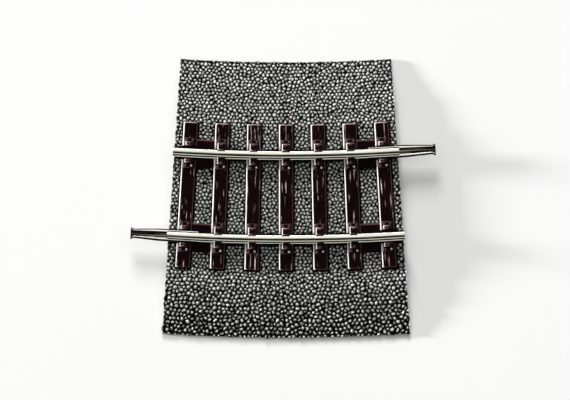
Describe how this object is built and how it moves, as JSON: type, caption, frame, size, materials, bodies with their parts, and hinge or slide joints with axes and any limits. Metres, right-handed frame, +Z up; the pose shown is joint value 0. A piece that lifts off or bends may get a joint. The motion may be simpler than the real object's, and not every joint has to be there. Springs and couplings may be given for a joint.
{
  "type": "model track section",
  "caption": "Short curved model railway track on a stone-textured ballast bed, with dark sleepers, metal rails and folded joiners that slide on the rail ends.",
  "frame": {"origin": "underside of the ballast bed, below the track's centreline at the middle of the curve", "axes": "+X along the track at its middle, towards the end whose joiner is on the inner rail; +Y across the track, towards the centre of the curve; +Z up, square to the underside"},
  "size_m": [0.0617, 0.0579, 0.0054],
  "materials": {
    "ballast": "matte",
    "sleeper_plastic": "satin",
    "rail_metal": "satin",
    "joiner_metal": "satin"
  },
  "bodies": {
    "track": {"ballast_bed": "ballast", "sleeper_grid": "sleeper_plastic", "outer_rail": "rail_metal", "inner_rail": "rail_metal"},
    "outer_joiner": {"outer_joiner": "joiner_metal"},
    "inner_joiner": {"inner_joiner": "joiner_metal"}
  },
  "joints": [
    {"name": "outer_joiner_slide", "type": "slide", "parent": "track", "child": "outer_joiner", "axis": [-0.9984, 0.057, 0], "range_m": [-0.002, 0.0052]},
    {"name": "inner_joiner_slide", "type": "slide", "parent": "track", "child": "inner_joiner", "axis": [0.9984, 0.0565, 0], "range_m": [-0.002, 0.0052]}
  ]
}
